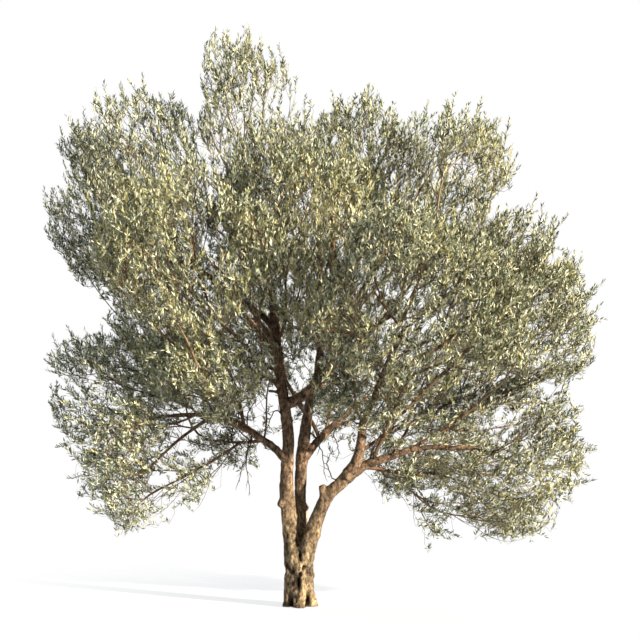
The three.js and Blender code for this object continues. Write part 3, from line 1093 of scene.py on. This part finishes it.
# Bare twigs: limb, share of the way along it, bends from there on, and thickness at the foot.
BARE_TWIGS = (
    ("left_bough", 0.42, ((-0.045, -0.05, -0.10), (-0.060, -0.08, -0.34), (-0.020, -0.08, -0.62)), 0.008),
    ("left_bough", 0.42, ((-0.055, -0.06, -0.22), (-0.110, -0.09, -0.36), (-0.130, -0.10, -0.50)), 0.007),
    ("left_bough", 0.62, ((-0.030, -0.04, -0.12), (0.020, -0.06, -0.30), (-0.010, -0.07, -0.46)), 0.008),
    ("left_bough", 0.50, ((0.020, -0.06, 0.16), (0.090, -0.10, 0.30), (0.060, -0.12, 0.48)), 0.007),
    ("left_bough", 0.72, ((-0.060, -0.06, 0.15), (-0.020, -0.10, 0.34), (0.070, -0.14, 0.45)), 0.007),
    ("left_stem", 0.47, ((-0.100, -0.06, 0.10), (-0.160, -0.09, 0.00), (-0.200, -0.10, -0.14)), 0.008),
    ("left_stem", 0.60, ((-0.110, -0.05, 0.12), (-0.270, -0.09, 0.22), (-0.430, -0.12, 0.20)), 0.010),
    ("left_stem", 0.70, ((0.090, -0.06, -0.06), (0.190, -0.09, -0.03), (0.260, -0.11, 0.10)), 0.008),
    ("middle_stem", 0.62, ((0.080, -0.05, -0.02), (0.160, -0.07, -0.16), (0.200, -0.08, -0.42)), 0.008),
    (
        "middle_right_bough",
        0.55,
        ((-0.020, -0.05, -0.14), (0.030, -0.08, -0.26), (0.010, -0.09, -0.36)),
        0.007,
    ),
    ("right_stem", 0.55, ((-0.080, -0.05, 0.10), (-0.110, -0.07, 0.24), (-0.060, -0.08, 0.36)), 0.007),
    ("right_bough", 0.45, ((-0.010, -0.05, 0.10), (0.060, -0.08, 0.20), (0.160, -0.10, 0.24)), 0.008),
)


BARE_POINTS = 14  # along a bare twig
BARE_END = 0.0032  # radius of its end
SIDE_RADII = (0.0036, 0.0028, 0.0014)


def bare_twigs():
    """Dead twigs that hang or arch from the limbs under the crown, each with a few side twigs."""
    paths, sizes = [], []
    for limb, at, bends, thickness in BARE_TWIGS:
        trail, _ = LIMBS[limb]
        start = trail[round(at * (len(trail) - 1))]
        path = smooth_curve(np.vstack([start, start + np.array(bends)]), BARE_POINTS)
        path[1:] += rng.normal(0, 0.006, (BARE_POINTS - 1, 3))
        paths.append(path)
        sizes.append(np.linspace(thickness, BARE_END, BARE_POINTS))
        for joint in range(4, BARE_POINTS - 1, 2):
            heading = unit(unit(path[joint] - path[joint - 1]) + rng.normal(0, 0.55, 3))
            reach = rng.uniform(0.05, 0.14)
            bow = rng.normal(0, 0.012, 3)
            end = path[joint] + heading * reach
            paths.append(np.array([path[joint], path[joint] + heading * reach / 2 + bow, end]))
            sizes.append(np.array(SIDE_RADII))
    points, faces, _ = thin_tubes(paths, sizes, 4)
    piece = mesh_piece("bare_twigs", points, faces, [DEAD_TWIG])
    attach(piece, "root")


# ------------------------------------------------------------------ floor, light and camera

CAMERA_PLACE = (0.21, -14.0, 2.0)
CAMERA_TARGET = (0.21, 0.0, 2.827)
CAMERA_LENS = 79.0
# The low sun, and a soft cool light from the tree's left, a little behind it: azimuth in degrees from the
# tree's right toward the camera, elevation, energy, the angle that the light spans, and colour.
SUN = (32, 17, 10.8, 2, (1.0, 0.90, 0.69))
GLOW = (205, 30, 1.7, 40, (0.72, 0.90, 1.0))
FILL_COLOUR = (0.93, 0.94, 0.84)
FILL_STRENGTH = 0.39
FLOOR_FADE = (0.8, 4.4)  # distances from the tree between which the floor fades into the backdrop


def aim(thing, place, target):
    thing.location = place
    thing.rotation_mode = "QUATERNION"
    thing.rotation_quaternion = (Vector(target) - Vector(place)).to_track_quat("-Z", "Y")
    bpy.context.scene.collection.objects.link(thing)


def floor():
    """A pale floor that fades out round the tree, so that it has no horizon."""
    material = plain_material("floor", (0.22, 0.23, 0.26), 0.9, 0.1)
    tree = material.node_tree
    shader = tree.nodes["Principled BSDF"]
    shader.inputs["Emission Color"].default_value = (1, 1, 1, 1)
    shader.inputs["Emission Strength"].default_value = 0.73
    place = tree.nodes.new("ShaderNodeTexCoord")
    distance = tree.nodes.new("ShaderNodeVectorMath")
    distance.operation = "LENGTH"
    fade = tree.nodes.new("ShaderNodeMapRange")
    fade.interpolation_type = "SMOOTHSTEP"
    fade.inputs["From Min"].default_value, fade.inputs["From Max"].default_value = FLOOR_FADE
    clear = tree.nodes.new("ShaderNodeBsdfTransparent")
    mixed = tree.nodes.new("ShaderNodeMixShader")
    link(tree, place.outputs["Object"], distance.inputs[0])
    link(tree, distance.outputs["Value"], fade.inputs["Value"])
    link(tree, fade.outputs["Result"], mixed.inputs["Fac"])
    link(tree, shader.outputs["BSDF"], mixed.inputs[1])
    link(tree, clear.outputs["BSDF"], mixed.inputs[2])
    link(tree, mixed.outputs["Shader"], tree.nodes["Material Output"].inputs["Surface"])
    size = FLOOR_FADE[1]
    points = np.array([(-size, -size, 0), (size, -size, 0), (size, size, 0), (-size, size, 0)], float)
    piece = mesh_piece("floor", points, np.array([[0, 1, 2, 3]]), [material])
    piece.location.z = -0.001


def distant_light(name, azimuth, elevation, energy, angle, colour):
    """A light from far away: azimuth, elevation and the angle it spans in degrees."""
    light = bpy.data.lights.new(name, "SUN")
    light.energy = energy
    light.angle = math.radians(angle)
    light.color = colour
    azimuth, elevation = math.radians(azimuth), math.radians(elevation)
    toward = Vector(
        (
            math.cos(azimuth) * math.cos(elevation),
            -math.sin(azimuth) * math.cos(elevation),
            math.sin(elevation),
        )
    )
    aim(bpy.data.objects.new(name, light), toward * 30, (0, 0, 0))


def light_and_camera():
    scene = bpy.context.scene
    distant_light("sun", *SUN)
    distant_light("glow", *GLOW)

    world = bpy.data.worlds.new("studio")
    world.use_nodes = True
    tree = world.node_tree
    fill = tree.nodes["Background"]
    fill.inputs["Color"].default_value = (*FILL_COLOUR, 1)
    fill.inputs["Strength"].default_value = FILL_STRENGTH
    backdrop = tree.nodes.new("ShaderNodeBackground")
    backdrop.inputs["Color"].default_value = (1, 1, 1, 1)
    backdrop.inputs["Strength"].default_value = 1.0
    seen = tree.nodes.new("ShaderNodeLightPath")
    mixed = tree.nodes.new("ShaderNodeMixShader")
    link(tree, seen.outputs["Is Camera Ray"], mixed.inputs["Fac"])
    link(tree, fill.outputs["Background"], mixed.inputs[1])
    link(tree, backdrop.outputs["Background"], mixed.inputs[2])
    link(tree, mixed.outputs["Shader"], tree.nodes["World Output"].inputs["Surface"])
    scene.world = world
    scene.view_settings.view_transform = "Standard"

    camera = bpy.data.objects.new("camera", bpy.data.cameras.new("camera"))
    camera.data.lens = CAMERA_LENS
    camera.data.sensor_width = 36
    aim(camera, CAMERA_PLACE, CAMERA_TARGET)
    scene.camera = camera


# ------------------------------------------------------------------ the scene

light_and_camera()
floor()
trunk_and_stems()
boughs()
crown()
bare_twigs()

bpy.context.view_layer.update()
